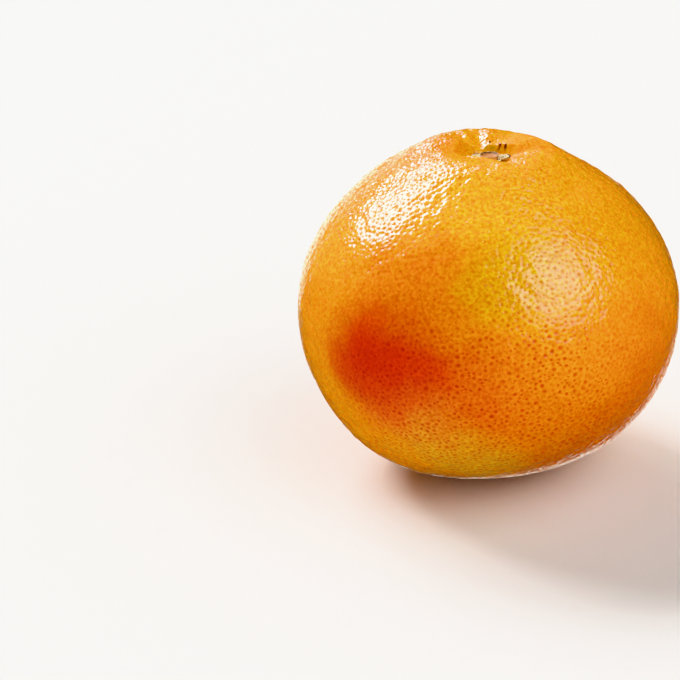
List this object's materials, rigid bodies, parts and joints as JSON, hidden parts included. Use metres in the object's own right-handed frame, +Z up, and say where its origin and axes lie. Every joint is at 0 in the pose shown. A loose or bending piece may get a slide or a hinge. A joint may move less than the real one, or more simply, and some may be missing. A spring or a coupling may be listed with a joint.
{
  "type": "grapefruit",
  "caption": "Whole fresh grapefruit, slightly flattened, with a puckered stem end, a small star-shaped calyx and a flattened blossom end that it rests on.",
  "frame": {"origin": "on the surface that the fruit rests on, under the middle of its bounding box, inside the flat resting spot at the blossom end", "axes": "+Z up along the fruit's core, from the blossom end to the stem end; -Y is the side that faces the viewer in the picture and +X is that side's right"},
  "size_m": [0.106, 0.1062, 0.0937],
  "materials": {
    "peel": "waxy dimpled citrus peel, golden orange with a pink-orange blush",
    "dried_calyx": "dry and matt: cream lobes with brown blotches and dark tips, green at the back, round a tan stem scar"
  },
  "bodies": {
    "root": {"fruit": "peel", "calyx": "dried_calyx"}
  },
  "joints": []
}
